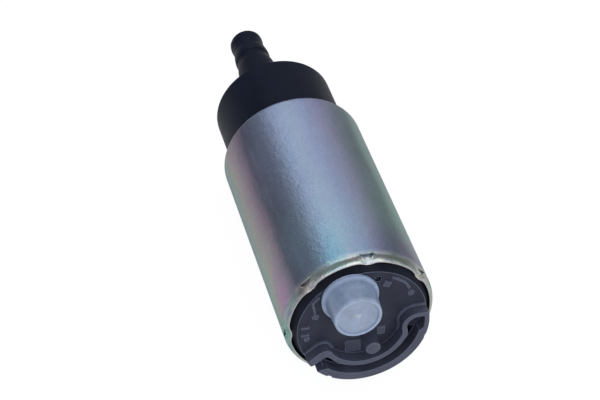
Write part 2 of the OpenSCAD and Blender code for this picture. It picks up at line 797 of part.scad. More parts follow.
module brush_holder() {
    flow_in = 11.2;
    flow_out = 15.8;
    color(plastic_color) place() difference() {
        union() {
            rod(fit_r, out_seat_s, cover_seat_s);
            rod(bush_d / 2 + 0.9, out_seat_s, hub_end_s);
            for (side = [-1, 1]) {
                brush_tube(side);
                choke_place(side) rod(choke_core_r + 1.1, cover_seat_s - eps, cover_seat_s + 1.6);
            }
        }
        for (side = [-1, 1]) {
            brush_tube_cut(side);
            choke_place(side) rod(choke_core_r, choke_s, cover_seat_s + 3);
        }
        rod(bush_d / 2, upper_bush_s, upper_bush_s + bush_len);
        rod(shaft_r + 0.5, out_seat_s - 1, upper_bush_s + bush_len + 0.8);
        // Ways through for the fuel
        for (a = [port_angle - 46, port_angle + 16])
            ring_piece(flow_in, flow_out, out_seat_s - 1, cover_seat_s + 1, a, 30);
    }
}

module brush(side) {
    brush_side(side) translate([brush_r, 0]) difference() {
        block([0, 0], [brush_depth, brush_w], brush_s, brush_end_s);
        rod(0.6, brush_end_s - 2, brush_end_s + 1);
    }
}

module brush_positive() { color(carbon_color) place() brush(1); }

module brush_negative() { color(carbon_color) place() brush(-1); }

module brush_spring(side) {
    brush_side(side) translate([brush_r, 0]) coil(1.35, 0.25, brush_end_s + 0.1, spring_end_s - 0.1, 6);
}

module brush_spring_positive() { color(wire_color) place() brush_spring(1); }

module brush_spring_negative() { color(wire_color) place() brush_spring(-1); }

// A braided lead that leaves the back of the brush by the slot of its tube and drops to the choke
module brush_lead(side) {
    lead_r = 0.35;
    out_x = brush_r + brush_depth / 2 + slide_gap + tube_wall + 0.8;
    choke_x = choke_r * sin(choke_angle);
    choke_y = -side * choke_r * cos(choke_angle);
    low_s = cover_seat_s + 2.6;
    brush_side(side) wire([
        [brush_r + brush_depth / 2 - 0.5, 0, -(brush_end_s + 0.4)],
        [brush_r + brush_depth / 2 + 0.6, 0, -(brush_end_s + 0.7)],
        [out_x - 0.2, 0, -(brush_end_s + 0.4)],
        [out_x + 0.1, 0, -(brush_end_s - 0.6)],
        [out_x + 0.1, choke_y * 0.1, -(brush_end_s - 2.2)],
        [out_x + 0.1, choke_y * 0.38, -(low_s + 1.2)],
        [choke_x + 3.4, choke_y * 0.67, -(low_s + 0.3)],
        [choke_x + 1.62, choke_y + side * 2.35, -low_s]],
        lead_r, [0.3, 0.9, 0.3]);
}

module brush_lead_positive() { color(copper_color) place() brush_lead(1); }

module brush_lead_negative() { color(copper_color) place() brush_lead(-1); }

module choke_core(side) { choke_place(side) rod(choke_core_r, choke_s, choke_end_s); }

module choke_core_positive() { color(ferrite_color) place() choke_core(1); }

module choke_core_negative() { color(ferrite_color) place() choke_core(-1); }

module choke_coil(side) {
    choke_place(side) coil(choke_coil_r, choke_wire_r, cover_seat_s + 1.7, choke_end_s - 0.2, 8);
}

module choke_coil_positive() { color(copper_color) place() choke_coil(1); }

module choke_coil_negative() { color(copper_color) place() choke_coil(-1); }

// A blade in the socket with a tail that reaches the end of its choke
module terminal(side) {
    choke_x = choke_r * cos(choke_angle);
    choke_y = choke_r * sin(choke_angle);
    tip_s = cover_top_s - 2;
    rotate([0, 0, socket_angle]) union() {
        block([blade_x, side * blade_y], [blade_t, blade_w], tail_s, tip_s);
        block([(blade_x + choke_x) / 2, side * (blade_y + choke_y + choke_core_r) / 2],
            [choke_x - blade_x + 2 * choke_core_r, choke_y + choke_core_r - blade_y + blade_w],
            tail_s, tail_s + blade_t);
    }
}

module terminal_positive() { color(brass_color) place() terminal(1); }

module terminal_negative() { color(brass_color) place() terminal(-1); }

// The outlet cover and what it holds

// Profile of the spigot as [radius, height above the cover] points
function spigot_profile() =
    let (tip = spigot_len, barb = spigot_len - 9.4, waist_r = neck_d / 2 + 0.28)
    [
        [0, -0.5], [foot_d / 2, -0.5], [root_d / 2, barb - 3.9], [waist_r + 0.17, barb - 2.4],
        [waist_r, barb - 1.4], [waist_r, barb - 0.4], [barb_d / 2, barb], [barb_d / 2, barb + 1],
        [waist_r + 0.04, barb + 2.3], [neck_d / 2 + 0.08, barb + 3.4], [neck_d / 2, barb + 4],
        [neck_d / 2, barb + 5.7], [neck_d / 2 + 0.04, barb + 6.5], [tip_d / 2, barb + 6.9],
        [tip_d / 2, tip - 1.4], [tip_d / 2 - 0.1, tip - 0.8], [tip_d / 2 - 0.37, tip - 0.3],
        [tip_d / 2 - 0.92, tip], [0, tip]
    ];

// Small keying nubs on the rim of the cover
module rim_nub(angle)
    ring_piece(cover_r - 1.7, cover_r - 0.6, cover_top_s - eps, cover_top_s + 0.25, angle - 2.5, 5);

module outlet_cover() {
    relief_wall = 1.2;
    color(black_color) place() difference() {
        union() {
            difference() {
                turned([
                    [0, cover_seat_s], [fit_r, cover_seat_s], [fit_r, roll_s - touch_gap],
                    [cover_r, roll_s - touch_gap], [cover_r, cover_top_s - 0.25],
                    [cover_r - 0.15, cover_top_s], [0, cover_top_s]]);
                rod(cavity_r, cover_seat_s - 1, cover_top_s - cover_top_t);
            }
            // Tub of the connector socket
            rotate([0, 0, socket_angle]) intersection() {
                block([socket_in + socket_l / 2 + 1, 0], [socket_l + 2 * tub_wall + 2, socket_w + 2 * tub_wall],
                    tub_s, cover_top_s - eps);
                rotate([0, 0, -socket_angle]) rod(cavity_r + 0.5, tub_s - 1, cover_top_s);
            }
            // Chamber of the relief valve
            polar(relief_r, relief_angle)
                rod(relief_bore / 2 + relief_wall, relief_seat_s - 2, cover_top_s - eps);
            // Boss under the spigot
            polar(port_r, port_angle)
                rod(check_seat_bore / 2 + 1.4, cover_top_s - cover_top_t - 1.5, cover_top_s - eps);
            intersection() {
                rod(cover_r - 0.3, cover_top_s - 1, spigot_tip_s + 1);
                polar(port_r, port_angle) turned([for (p = spigot_profile()) [p[0], cover_top_s + p[1]]]);
            }
            rim_nub(32);
            rim_nub(70);
        }
        // Groove of the case seal
        difference() {
            rod(seat_r + 1, seal_s - seal_r - 0.1, seal_s + seal_r + 0.1);
            rod(fit_r - 2 * seal_r - 0.05, seal_s - 2, seal_s + 2);
        }
        rotate([0, 0, socket_angle]) {
            block([socket_in + socket_l / 2, 0], [socket_l, socket_w], socket_floor_s, cover_top_s + 1);
            // Window for the plug's latch
            block([socket_out + 2, 0], [5, 4.2], cover_top_s - 5.6, cover_top_s - 3.4);
            // Slots for the terminal blades
            for (side = [-1, 1])
                block([blade_x, side * blade_y], [blade_t, blade_w], tub_s - 1, socket_floor_s + 1);
        }
        // Check valve: seat and bore
        polar(port_r, port_angle) rod(check_seat_bore / 2, cover_top_s - cover_top_t - 3, check_seat_s + 1);
        polar(port_r, port_angle) rod(spigot_bore / 2, check_seat_s, spigot_tip_s + 1);
        // Relief valve: seat and chamber
        polar(relief_r, relief_angle) rod(relief_seat_bore / 2, relief_seat_s - 3, relief_seat_s + 1);
        polar(relief_r, relief_angle) rod(relief_bore / 2, relief_seat_s, cover_top_s + 1);
    }
}

seal_r = 0.6;
seal_s = (cover_seat_s + roll_s) / 2;

module case_seal() {
    color(ferrite_color) place() station(seal_s) rotate_extrude()
        translate([fit_r - seal_r, 0]) circle(r = seal_r, $fn = 32);
}

module check_valve() {
    head_r = check_d / 2;
    rim_t = 0.8;
    head_chamfer = 0.5;
    stem_end_s = check_retainer_s + 1;
    color(brass_color) place() polar(port_r, port_angle) turned([
        [0, check_s], [head_r, check_s], [head_r, check_s + rim_t],
        [head_r - head_chamfer, check_s + check_head_t], [stem_r, check_s + check_head_t],
        [stem_r, stem_end_s - check_travel], [0, stem_end_s - check_travel]]);
}

module check_valve_spring() {
    color(wire_color) place() polar(port_r, port_angle)
        coil(1.6, 0.25, check_s + check_head_t + 0.1, check_retainer_s - 0.1, 6);
}

// A spider pressed into the bore, which guides the stem and carries the spring
module check_valve_retainer() {
    s1 = check_retainer_s + check_retainer_t;
    arm_w = 0.9;
    outer = spigot_bore / 2;
    color(plastic_color) place() polar(port_r, port_angle) difference() {
        union() {
            sleeve(outer, outer - 0.6, check_retainer_s, s1);
            rod(stem_r + 1.1, check_retainer_s, s1);
            for (i = [0:2]) rotate([0, 0, 120 * i])
                block([outer / 2, 0], [outer - 0.2, arm_w], check_retainer_s, s1);
        }
        rod(stem_r + 0.2, check_retainer_s - 1, s1 + 1);
    }
}

module relief_ball() {
    color(wire_color) place() polar(relief_r, relief_angle) station(ball_s) sphere(r = ball_r);
}

module relief_spring() {
    color(wire_color) place() polar(relief_r, relief_angle)
        coil(1.3, 0.2, ball_s + ball_r * 0.62, relief_plug_s - 0.1, 4);
}

module relief_plug() {
    color(brass_color) place() polar(relief_r, relief_angle)
        sleeve(relief_bore / 2, 1, relief_plug_s, relief_plug_s + relief_plug_t);
}

case_shell();
inlet_cover();
inlet_cap();
channel_ring();
impeller();
pump_casing();
thrust_button();
lower_bearing();
upper_bearing();
rotor_shaft();
armature_core();
insulator_inlet_end();
insulator_outlet_end();
windings();
commutator_base();
commutator_segments();
magnet_upper();
magnet_lower();
magnet_clip_left();
magnet_clip_right();
brush_holder();
brush_positive();
brush_negative();
brush_spring_positive();
brush_spring_negative();
brush_lead_positive();
brush_lead_negative();
choke_core_positive();
choke_core_negative();
choke_coil_positive();
choke_coil_negative();
terminal_positive();
terminal_negative();
outlet_cover();
case_seal();
check_valve();
check_valve_spring();
check_valve_retainer();
relief_ball();
relief_spring();
relief_plug();
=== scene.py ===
"""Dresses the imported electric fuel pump: its case, covers, cap, windings, finishes and studio.

The pump lies along Y with its inlet towards -Y. Pieces are drawn in millimetres by a radius, an angle about
the pump's axis and a station, which is the distance from the inlet edge of the case towards the outlet.
"""
import math
from functools import partial, reduce

import bmesh
import bpy
from bpy.props import FloatProperty, FloatVectorProperty, IntProperty, PointerProperty
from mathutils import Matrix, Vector


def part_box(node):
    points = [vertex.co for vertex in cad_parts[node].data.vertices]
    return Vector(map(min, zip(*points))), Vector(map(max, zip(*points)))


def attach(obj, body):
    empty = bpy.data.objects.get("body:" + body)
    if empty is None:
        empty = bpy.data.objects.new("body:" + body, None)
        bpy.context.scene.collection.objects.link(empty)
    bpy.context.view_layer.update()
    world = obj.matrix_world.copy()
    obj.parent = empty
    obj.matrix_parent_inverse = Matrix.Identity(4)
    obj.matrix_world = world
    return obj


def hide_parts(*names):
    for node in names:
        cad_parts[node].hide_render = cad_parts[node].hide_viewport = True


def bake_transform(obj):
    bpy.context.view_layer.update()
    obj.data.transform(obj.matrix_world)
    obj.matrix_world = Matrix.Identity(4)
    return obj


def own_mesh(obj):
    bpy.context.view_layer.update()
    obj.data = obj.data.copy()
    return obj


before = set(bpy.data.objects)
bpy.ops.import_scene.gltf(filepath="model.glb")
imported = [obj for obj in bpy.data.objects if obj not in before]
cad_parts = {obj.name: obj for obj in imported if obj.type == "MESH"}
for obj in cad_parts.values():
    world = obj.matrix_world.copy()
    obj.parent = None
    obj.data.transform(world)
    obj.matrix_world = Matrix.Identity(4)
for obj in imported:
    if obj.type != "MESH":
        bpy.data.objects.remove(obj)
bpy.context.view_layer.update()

bl_info = {
    "name": "Electric fuel pump",
    "version": (1, 0, 0),
    "blender": (4, 5, 0),
    "location": "3D View > Sidebar > Fuel Pump",
    "description": "Models and finishes the visible pieces of an in-tank electric fuel pump",
    "category": "Object",
}

MM = 0.001
CASE_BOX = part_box("case_shell")
INLET_Y = CASE_BOX[0].y
CASE_LENGTH = CASE_BOX[1].y - CASE_BOX[0].y
FLOOR_Z = CASE_BOX[0].z
TAU = 2 * math.pi

# The inlet cover's chamfer, on which the lip of the case comes to rest: its radius at the inlet edge in
# millimetres, and how much wider it is for each millimetre inwards
CHAMFER_RADIUS, CHAMFER_SLOPE = 17.10, 0.4157

CAMERA_LENS = 112.34
CAMERA_PLACE = (-0.09747, -0.34490, 0.31935)
CAMERA_AIM = (0.19337, 0.73204, -0.65325)


# Sizes and colours

def size(name, description, mm):
    return FloatProperty(name=name, description=description, default=mm * MM, min=0.0, precision=5,
                         subtype="DISTANCE", unit="LENGTH")


def share(name, description, value):
    return FloatProperty(name=name, description=description, default=value, min=0.0, max=1.0,
                         subtype="FACTOR")


def turn(name, description, degrees):
    return FloatProperty(name=name, description=description, default=math.radians(degrees),
                         subtype="ANGLE", unit="ROTATION")


def wattage(name, description, watts):
    return FloatProperty(name=name, description=description, default=watts, min=0.0, unit="POWER")


def whole(name, description, number, least):
    return IntProperty(name=name, description=description, default=number, min=least)


def colour(name, description, rgb):
    return FloatVectorProperty(name=name, description=description, default=rgb, size=3, min=0.0, max=1.0,
                               subtype="COLOR")


class CaseSettings(bpy.types.PropertyGroup):
    radius: size("Radius", "Outside radius of the case", 19)
    curl: size("Curl height", "Length of the case that curls inwards at the inlet", 2.6)
    end_wall: size("End wall", "Thickness of the case at its thinned ends", 0.85)
    wall: size("Wall", "Thickness of the case around the motor", 1.5)
    edge_radius: size("Outlet edge", "Inside radius of the edge rolled over the outlet cover", 16.35)
    stakes: whole("Stakes", "Number of stakes that lock the inlet cover", 7, 1)
    stake_start: turn("First stake", "Angle of the first stake", 34.5)
    stake_step: turn("Stake step", "Angle from one stake to the next", 50)
    stake_width: size("Stake width", "Width of a stake mark at its top", 3.7)
    stake_depth: size("Stake depth", "Depth of a stake mark at its top", 0.78)
    lip_push: size("Lip push", "How far a stake pushes the lip inwards", 0.75)
    steel: colour("Steel", "Colour of the plated steel", (0.333, 0.367, 0.444))
    # The tint and the film hold painted reflection bands as well as the plating's rainbow
    tint: share("Tint", "Strength of the rainbow tint of the plating", 1.0)
    film: share("Film", "Strength of the brighter rainbow near the inlet", 0.75)
    roughness: share("Roughness", "Roughness of the plated steel", 0.36)


class CapSettings(bpy.types.PropertyGroup):
    plastic: colour("Plastic", "Colour of the clouded cap", (0.24, 0.315, 0.47))
    clearness: share("Clearness", "How much light passes through the cap", 0.12)
    flange: size("Flange radius", "Radius of the cap's flange", 7.15)
    body: size("Body radius", "Radius of the cap above its flange", 6.35)
    end: size("End radius", "Radius of the cap at its end", 5.85)


class CoverSettings(bpy.types.PropertyGroup):
    inlet_plastic: colour("Inlet plastic", "Colour of the inlet cover", (0.062, 0.071, 0.111))
    outlet_plastic: colour("Outlet plastic", "Colour of the outlet cover", (0.0075, 0.0105, 0.0230))
    edge: size("Edge rounding", "Rounding of the moulded edges", 0.12)


class MotorSettings(bpy.types.PropertyGroup):
    copper: colour("Copper", "Colour of the enamelled copper wire", (0.50, 0.19, 0.07))
    steel: colour("Bright steel", "Colour of the shaft, springs and clips", (0.55, 0.56, 0.58))
    wire: size("Winding wire", "Radius of the winding wire", 0.25)
    turns: whole("Turns", "Turns drawn for each armature coil", 9, 2)
    slots: whole("Slots", "Number of armature slots", 8, 4)
    spring_wire: size("Spring wire", "Radius of the wire of the springs", 0.25)
    choke_wire: size("Choke wire", "Radius of the wire of the chokes", 0.36)
    lead: size("Brush lead", "Radius of the braided brush leads", 0.34)
    socket: turn("Socket", "Angle of the connector socket, with a brush a quarter turn to each side", 289)


class StudioSettings(bpy.types.PropertyGroup):
    floor: colour("Floor", "Colour of the floor", (0.80, 0.81, 0.83))
    room: share("Room", "Brightness of the room in reflections", 0.28)
    soft: share("Soft light", "Brightness of the room's soft light", 0.58)
    key: wattage("Key light", "Power of the light above and behind", 1.5)
    side: wattage("Side light", "Power of the light behind, at the right", 0.35)
    fill: wattage("Fill light", "Power of the light at the camera's side", 11.0)


def settings(name):
    return getattr(bpy.context.scene, "fuel_pump_" + name)


# Places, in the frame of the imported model

def local(point):
    """Radius, angle in degrees and station of a place, in millimetres."""
    return (math.hypot(point.x, point.z) / MM, math.degrees(math.atan2(point.z, point.x)),
            (point.y - INLET_Y) / MM)


def smooth_step(low, high, value):
    t = min(max((value - low) / (high - low), 0.0), 1.0)
    return t * t * (3 - 2 * t)


# Meshes

def add_piece(name, data, body, finishes, replaced=()):
    """Puts a finished mesh into the scene, in place, on its body, or on none."""
    piece = bpy.data.objects.new(name, data)
    bpy.context.scene.collection.objects.link(piece)
    for finish in finishes:
        data.materials.append(finish)
    if body:
        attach(piece, body)
    if replaced:
        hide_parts(*replaced)
    return piece


def mesh_from(bm, name, crease):
    """Turns a bmesh into a smooth mesh whose edges over the crease angle stay sharp."""
    bmesh.ops.remove_doubles(bm, verts=bm.verts, dist=1e-7)
    bmesh.ops.recalc_face_normals(bm, faces=bm.faces)
    mesh = bpy.data.meshes.new(name)
    bm.to_mesh(mesh)
    bm.free()
    mesh.shade_smooth()
    mesh.set_sharp_from_angle(angle=math.radians(crease))
    return mesh


def arc(center, radius, start, end, count):
    """Points of an arc in (radius, station), with angles in degrees."""
    angles = [math.radians(start + (end - start) * i / count) for i in range(count + 1)]
    return [(center[0] + radius * math.cos(a), center[1] + radius * math.sin(a)) for a in angles]


def spin_profile(bm, points, axis_place, steps):
    """Spins a closed profile of (radius, station) points about an axis along Y."""
    ring = [bm.verts.new((axis_place.x + r * MM, INLET_Y + s * MM, axis_place.z)) for r, s in points]
    edges = [bm.edges.new((a, b)) for a, b in zip(ring, ring[1:] + ring[:1])]
    bmesh.ops.spin(bm, geom=ring + edges, cent=axis_place, axis=(0, 1, 0), dvec=(0, 0, 0), angle=TAU,
                   steps=steps, use_merge=True, use_normal_flip=False, use_duplicate=False)


def wire(name, lines, radius, body, slot, finish, replaced=(), closed=False, sides=2):
    """Round wires through lines of places, as one mesh piece."""
    data = bpy.data.curves.new(name, "CURVE")
    data.dimensions = "3D"
    data.bevel_depth = radius
    data.bevel_resolution = sides
    data.use_fill_caps = not closed
    data.resolution_u = 3
    for line in lines:
        spline = data.splines.new("NURBS")
        spline.points.add(len(line) - 1)
        for point, place in zip(spline.points, line):
            point.co = (*place, 1.0)
        spline.order_u = 4
        spline.use_cyclic_u = closed
        spline.use_endpoint_u = not closed
    route = bpy.data.objects.new(name + "_route", data)
    bpy.context.scene.collection.objects.link(route)
    drawn = route.evaluated_get(bpy.context.evaluated_depsgraph_get())
    bm = bmesh.new()
    bm.from_mesh(drawn.to_mesh())
    drawn.to_mesh_clear()
    bpy.data.objects.remove(route)
    bpy.data.curves.remove(data)
    return add_piece(name, mesh_from(bm, name, 60), body, [finish], replaced)


def coil_in(node, wire_radius, curls, dead=0.8, steps=14):
    """Places along a coil with closed ends that fills a node's box, about an axis along Y."""
    low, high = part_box(node)
    radius = (high.x - low.x) / 2 - wire_radius
    middle = (low + high) / 2
    start, end = low.y + wire_radius, high.y - wire_radius
    places = []
    for i in range(curls * steps + 1):
        turned = i / steps
        rise = min(max((turned - dead) / (curls - 2 * dead), 0.0), 1.0)
        a = TAU * turned
        places.append(Vector((middle.x + radius * math.cos(a), start + (end - start) * rise,
                              middle.z + radius * math.sin(a))))
    return places


def spring(name, node, curls, finish):
    """A coil spring in place of a node."""
    wire_radius = settings("motor").spring_wire
    piece = wire(name, [coil_in(node, wire_radius, curls)], wire_radius, "housing", "bright_steel", finish,
                 [node])
    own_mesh(piece)


# Finishes

class Nodes:
    """Adds nodes to a node tree."""

    def __init__(self, tree):
        self.tree = tree

    def node(self, kind, sockets=None, **options):
        made = self.tree.nodes.new(kind)
        for key, value in options.items():
            setattr(made, key, value)
        for key, value in (sockets or {}).items():
            self.put(made.inputs[key], value)
        return made

    def put(self, socket, value):
        if isinstance(value, bpy.types.NodeSocket):
            self.tree.links.new(value, socket)
        else:
            socket.default_value = value

    def math(self, operation, a, b=0.0, c=0.0):
        return self.node("ShaderNodeMath", {0: a, 1: b, 2: c}, operation=operation).outputs[0]

    def plus(self, *values):
        return reduce(partial(self.math, "ADD"), values)

    def times(self, *values):
        return reduce(partial(self.math, "MULTIPLY"), values)

    def rays(self):
        """1 for each kind of ray that the shading is seen by, and 0 for the others."""
        return self.node("ShaderNodeLightPath").outputs


class Finish(Nodes):
    """Builds one procedural material on object coordinates."""

    def __init__(self, name):
        self.material = bpy.data.materials.new(name)
        self.material.use_nodes = True
        super().__init__(self.material.node_tree)
        self.shader = self.tree.nodes["Principled BSDF"]
        self.place = self.node("ShaderNodeTexCoord").outputs["Object"]

    def span(self, value, low, high, to_low=0.0, to_high=1.0):
        """Maps a value between two limits, clamped."""
        return self.node("ShaderNodeMapRange", {"Value": value, "From Min": low, "From Max": high,
                                                "To Min": to_low, "To Max": to_high}).outputs[0]

    def noise(self, grain, detail=3.0, roughness=0.6, stretch=(1, 1, 1), offset=(0, 0, 0)):
        """Noise whose features are about the grain in millimetres, stretched along each axis."""
        moved = self.node("ShaderNodeMapping", {"Vector": self.place, "Location": offset,
                                                "Scale": tuple(1 / (grain * MM * k) for k in stretch)})
        return self.node("ShaderNodeTexNoise", {"Vector": moved.outputs[0], "Scale": 1.0, "Detail": detail,
                                                "Roughness": roughness}).outputs["Fac"]

    def ramp(self, value, stops):
        made = self.node("ShaderNodeValToRGB", {"Fac": value})
        elements = made.color_ramp.elements
        while len(elements) < len(stops):
            elements.new(0.5)
        for element, (position, rgb) in zip(elements, stops):
            element.position = position
            element.color = (*rgb, 1.0)
        return made.outputs["Color"]

    def mix(self, amount, a, b, blend="MIX"):
        made = self.node("ShaderNodeMix", data_type="RGBA", blend_type=blend)
        for socket, value in ((made.inputs[0], amount), (made.inputs[6], a), (made.inputs[7], b)):
            self.put(socket, (*value, 1.0) if isinstance(value, (tuple, Vector)) else value)
        return made.outputs[2]

    def tinted(self, rgb, tint):
        return self.mix(1.0, rgb, tint, "MULTIPLY")

    def coordinates(self):
        """X, Y and Z of the place."""
        return self.node("ShaderNodeSeparateXYZ", {0: self.place}).outputs

    def bump(self, heights, distance, strength=0.5, rounding=0.0):
        """Bump from heights, over edges rounded by the given radius."""
        made = self.node("ShaderNodeBump", {"Height": heights, "Distance": distance * MM,
                                            "Strength": strength})
        if rounding:
            soft = self.node("ShaderNodeBevel", {"Radius": rounding}, samples=4)
            self.put(made.inputs["Normal"], soft.outputs[0])
        self.put(self.shader.inputs["Normal"], made.outputs[0])

    def edges(self, radius):
        """1 on convex and concave edges and 0 on flat places."""
        soft = self.node("ShaderNodeBevel", {"Radius": radius}, samples=4)
        flat = self.node("ShaderNodeNewGeometry").outputs["Normal"]
        alike = self.node("ShaderNodeVectorMath", {0: soft.outputs[0], 1: flat}, operation="DOT_PRODUCT")
        return self.span(alike.outputs["Value"], 0.995, 0.87)

    def set(self, **values):
        """Sets sockets of the shader, by their names with spaces as underscores."""
        for key, value in values.items():
            socket = self.shader.inputs[key.replace("_", " ")]
            if not isinstance(value, bpy.types.NodeSocket) and socket.type == "RGBA":
                value = (*value[:3], 1.0)
            self.put(socket, value)


def moulded_plastic(name, rgb, roughness=0.42, edge=0.12, edge_wear_and_highlight=0.35, grain=0.35, dust=0.25, shine=0.5,
                    line=2.2, raised=None, gleam=(1, 1, 1)):
    """Moulded plastic with a fine pebble, faint flow marks, edges lighter from wear and a painted highlight,
    and a little dust.

    Edges are paler by the factor line, partly from wear and partly as a painted highlight, and gleam is the
    tint of the shine. Where two stations are given as raised, in millimetres, the plastic is darker and
    duller at the first and paler at the second: painted shade on the recessed face and painted light on the
    raised tops.
    """
    f = Finish(name)
    rgb = Vector(rgb)
    fine = f.noise(grain, 4, 0.65)
    flow = f.noise(5.0, 4, 0.55, (1, 2.4, 1))
    base = f.mix(f.span(flow, 0.35, 0.7), rgb * 0.82, rgb * 1.22)
    # Painted shade on the recessed face and paler raised tops, by station
    if raised:
        out = f.span(f.coordinates()[1], INLET_Y + raised[0] * MM, INLET_Y + raised[1] * MM)
        painted_recess_shade = f.ramp(out, [(0.0, (0.24, 0.24, 0.24)), (0.2, (0.88, 0.88, 0.88)),
                             (1.0, (0.94, 0.94, 0.94))])
        base = f.tinted(base, painted_recess_shade)
        shine = f.span(out, 0.0, 0.2, 0.02, shine)
    # Edges paler, partly from wear and partly a painted highlight on every edge, convex or concave
    worn_and_highlit_edge = rgb * line + Vector((0.01, 0.01, 0.012))
    base = f.mix(f.times(f.edges(2.4 * edge * MM), edge_wear_and_highlight), base, worn_and_highlit_edge)
    specks = f.span(f.noise(0.5, 2, 0.7), 0.66, 0.78)
    base = f.mix(f.times(specks, dust), base, rgb + Vector((0.06, 0.062, 0.07)))
    f.set(Base_Color=base, Specular_IOR_Level=shine, Specular_Tint=gleam,
          Roughness=f.span(f.plus(fine, flow), 0.6, 1.4, roughness - 0.07, roughness + 0.09))
    f.bump(f.plus(fine, f.times(flow, 0.8)), 0.02, 0.4, edge * MM)
    return f.material


def metal(name, rgb, roughness=0.3, grain=0.25, stretch=(1, 1, 1), stain=0.25, edge=0.08):
    """Bare metal with fine tool marks, light staining and edges brighter from wear and a painted highlight.
    """
    f = Finish(name)
    rgb = Vector(rgb)
    marks = f.noise(grain, 5, 0.7, stretch)
    cloud = f.noise(3.5, 4, 0.6)
    base = f.mix(f.times(f.span(cloud, 0.42, 0.7), stain), rgb, rgb * 0.5)
    # Edges brighter, partly from wear and partly a painted highlight
    base = f.mix(f.times(f.edges(2 * edge * MM), 0.5), base, rgb * 1.3)
    f.set(Base_Color=base, Metallic=1.0,
          Roughness=f.span(f.plus(marks, cloud), 0.6, 1.4, roughness - 0.1, roughness + 0.12))
    f.bump(marks, 0.012, 0.5, edge * MM)
    return f.material


def enamelled_wire(name, rgb):
    """Enamelled copper: a warm glossy coat over wire, with a tone that varies at random."""
    f = Finish(name)
    rgb = Vector(rgb)
    tone = f.noise(1.6, 3, 0.6)
    fine = f.noise(0.15, 2, 0.6)
    base = f.mix(f.span(tone, 0.3, 0.72), rgb * 0.62, rgb * 1.3)
    f.set(Base_Color=base, Metallic=0.75, Roughness=f.span(fine, 0.3, 0.7, 0.22, 0.38), Coat_Weight=0.6,
          Coat_Roughness=0.15)
    f.bump(fine, 0.006, 0.4)
    return f.material


def laminated_iron(name, rgb, sheet=0.5):
    """Stacked iron sheets: fine lines across the axis, with a varnish tint."""
    f = Finish(name)
    rgb = Vector(rgb)
    y = f.coordinates()[1]
    phase = f.math("FRACT", f.math("DIVIDE", y, sheet * MM))
    line = f.span(f.math("ABSOLUTE", f.math("SUBTRACT", phase, 0.5)), 0.36, 0.48)
    stain = f.noise(2.5, 4, 0.65)
    base = f.mix(f.times(line, 0.75), f.mix(f.span(stain, 0.35, 0.7), rgb, rgb * 0.6), rgb * 0.25)
    f.set(Base_Color=base, Metallic=0.85, Roughness=f.span(stain, 0.3, 0.7, 0.35, 0.55))
    f.bump(f.math("SUBTRACT", f.times(stain, 0.3), line), 0.04, 0.7, 0.05 * MM)
    return f.material


def pressed_powder(name, rgb, roughness=0.7, grain=0.18, metallic=0.0):
    """Pressed and fired powder, such as ferrite, carbon and sintered bronze, with fine pores."""
    f = Finish(name)
    rgb = Vector(rgb)
    pores = f.span(f.noise(grain, 3, 0.75), 0.52, 0.68)
    tone = f.noise(2.2, 4, 0.6)
    base = f.mix(f.times(pores, 0.6), f.mix(tone, rgb * 0.8, rgb * 1.25), rgb * 0.45)
    f.set(Base_Color=base, Metallic=metallic,
          Roughness=f.span(tone, 0.3, 0.7, roughness - 0.08, roughness + 0.08))
    f.bump(f.times(pores, -1.0), 0.02, 0.6, 0.08 * MM)
    return f.material


def soft_rubber(name, rgb):
    """Black seal rubber, slightly bloomed."""
    f = Finish(name)
    bloom = f.noise(0.9, 4, 0.65)
    base = f.mix(f.span(bloom, 0.5, 0.75, 0.0, 0.5), Vector(rgb), Vector(rgb) * 2.6)
    f.set(Base_Color=base, Roughness=0.55, Sheen_Weight=0.15)
    f.bump(bloom, 0.01, 0.5)
    return f.material


# Tints of the plating, which multiply the colour of the steel; the darker and lighter ones also paint
# reflection
PALE, GREEN, MOSS, SLATE = (0.66, 0.83, 0.75), (0.86, 1.10, 0.81), (0.60, 0.72, 0.61), (0.83, 0.93, 0.86)
LILAC, BLUE, AZURE, SKY = (1.01, 0.96, 1.10), (0.86, 0.96, 1.13), (0.94, 1.09, 1.16), (0.94, 1.09, 1.25)
DUSK, SHADE, VIOLET, ROSE = (0.88, 0.95, 1.07), (0.52, 0.49, 0.57), (0.85, 0.62, 0.65), (1.05, 0.81, 0.76)
OLIVE, CLEAR, PURPLE, CYAN = (1.20, 1.04, 0.80), (1, 1, 1), (1.26, 0.70, 1.33), (0.72, 1.24, 1.18)
LEAF, PINK, MAUVE, DIM = (0.90, 1.14, 0.90), (1.15, 1.02, 1.02), (1.30, 0.66, 1.12), (0.60, 0.53, 0.68)
TEAL = (0.42, 0.60, 0.64)

# Bands around the case, by degrees about the axis: plating tints, and painted reflection, darker at MOSS and
# SHADE, lighter at AZURE and SKY
TINT_AND_REFLECTION_BANDS = ((-172, PALE), (-145, LILAC), (-105, BLUE), (-65, AZURE), (-30, ROSE), (-4, OLIVE), (20, PALE),
         (36, GREEN), (47, MOSS), (57, SLATE), (70, LILAC), (84, BLUE), (98, AZURE), (110, SKY), (130, DUSK),
         (141, SHADE), (148, VIOLET), (157, ROSE), (167, OLIVE), (180, GREEN))

# The rainbow film near the inlet, in the same way, with a band of painted reflection shade at DIM
FILM_AND_REFLECTION_BANDS = ((-172, LEAF), (-120, CYAN), (-60, PURPLE), (0, CLEAR), (24, MAUVE), (44, MAUVE), (57, DIM), (67, DIM),
        (78, CLEAR), (94, CLEAR), (106, CYAN), (124, CLEAR), (150, DUSK), (161, PURPLE), (173, PINK),
        (180, LEAF))

# The curled band at the inlet, in the same way, with painted reflection shade in the darker TEAL
CURL_TINT_AND_REFLECTION = ((-172, TEAL), (-140, CLEAR), (-20, SLATE), (60, SLATE), (84, CLEAR), (128, CLEAR), (140, PINK),
        (152, TEAL), (180, TEAL))

# A ramp's colours stop at 1, so ramps hold this share of each tint
RAMP_SHARE = 0.75


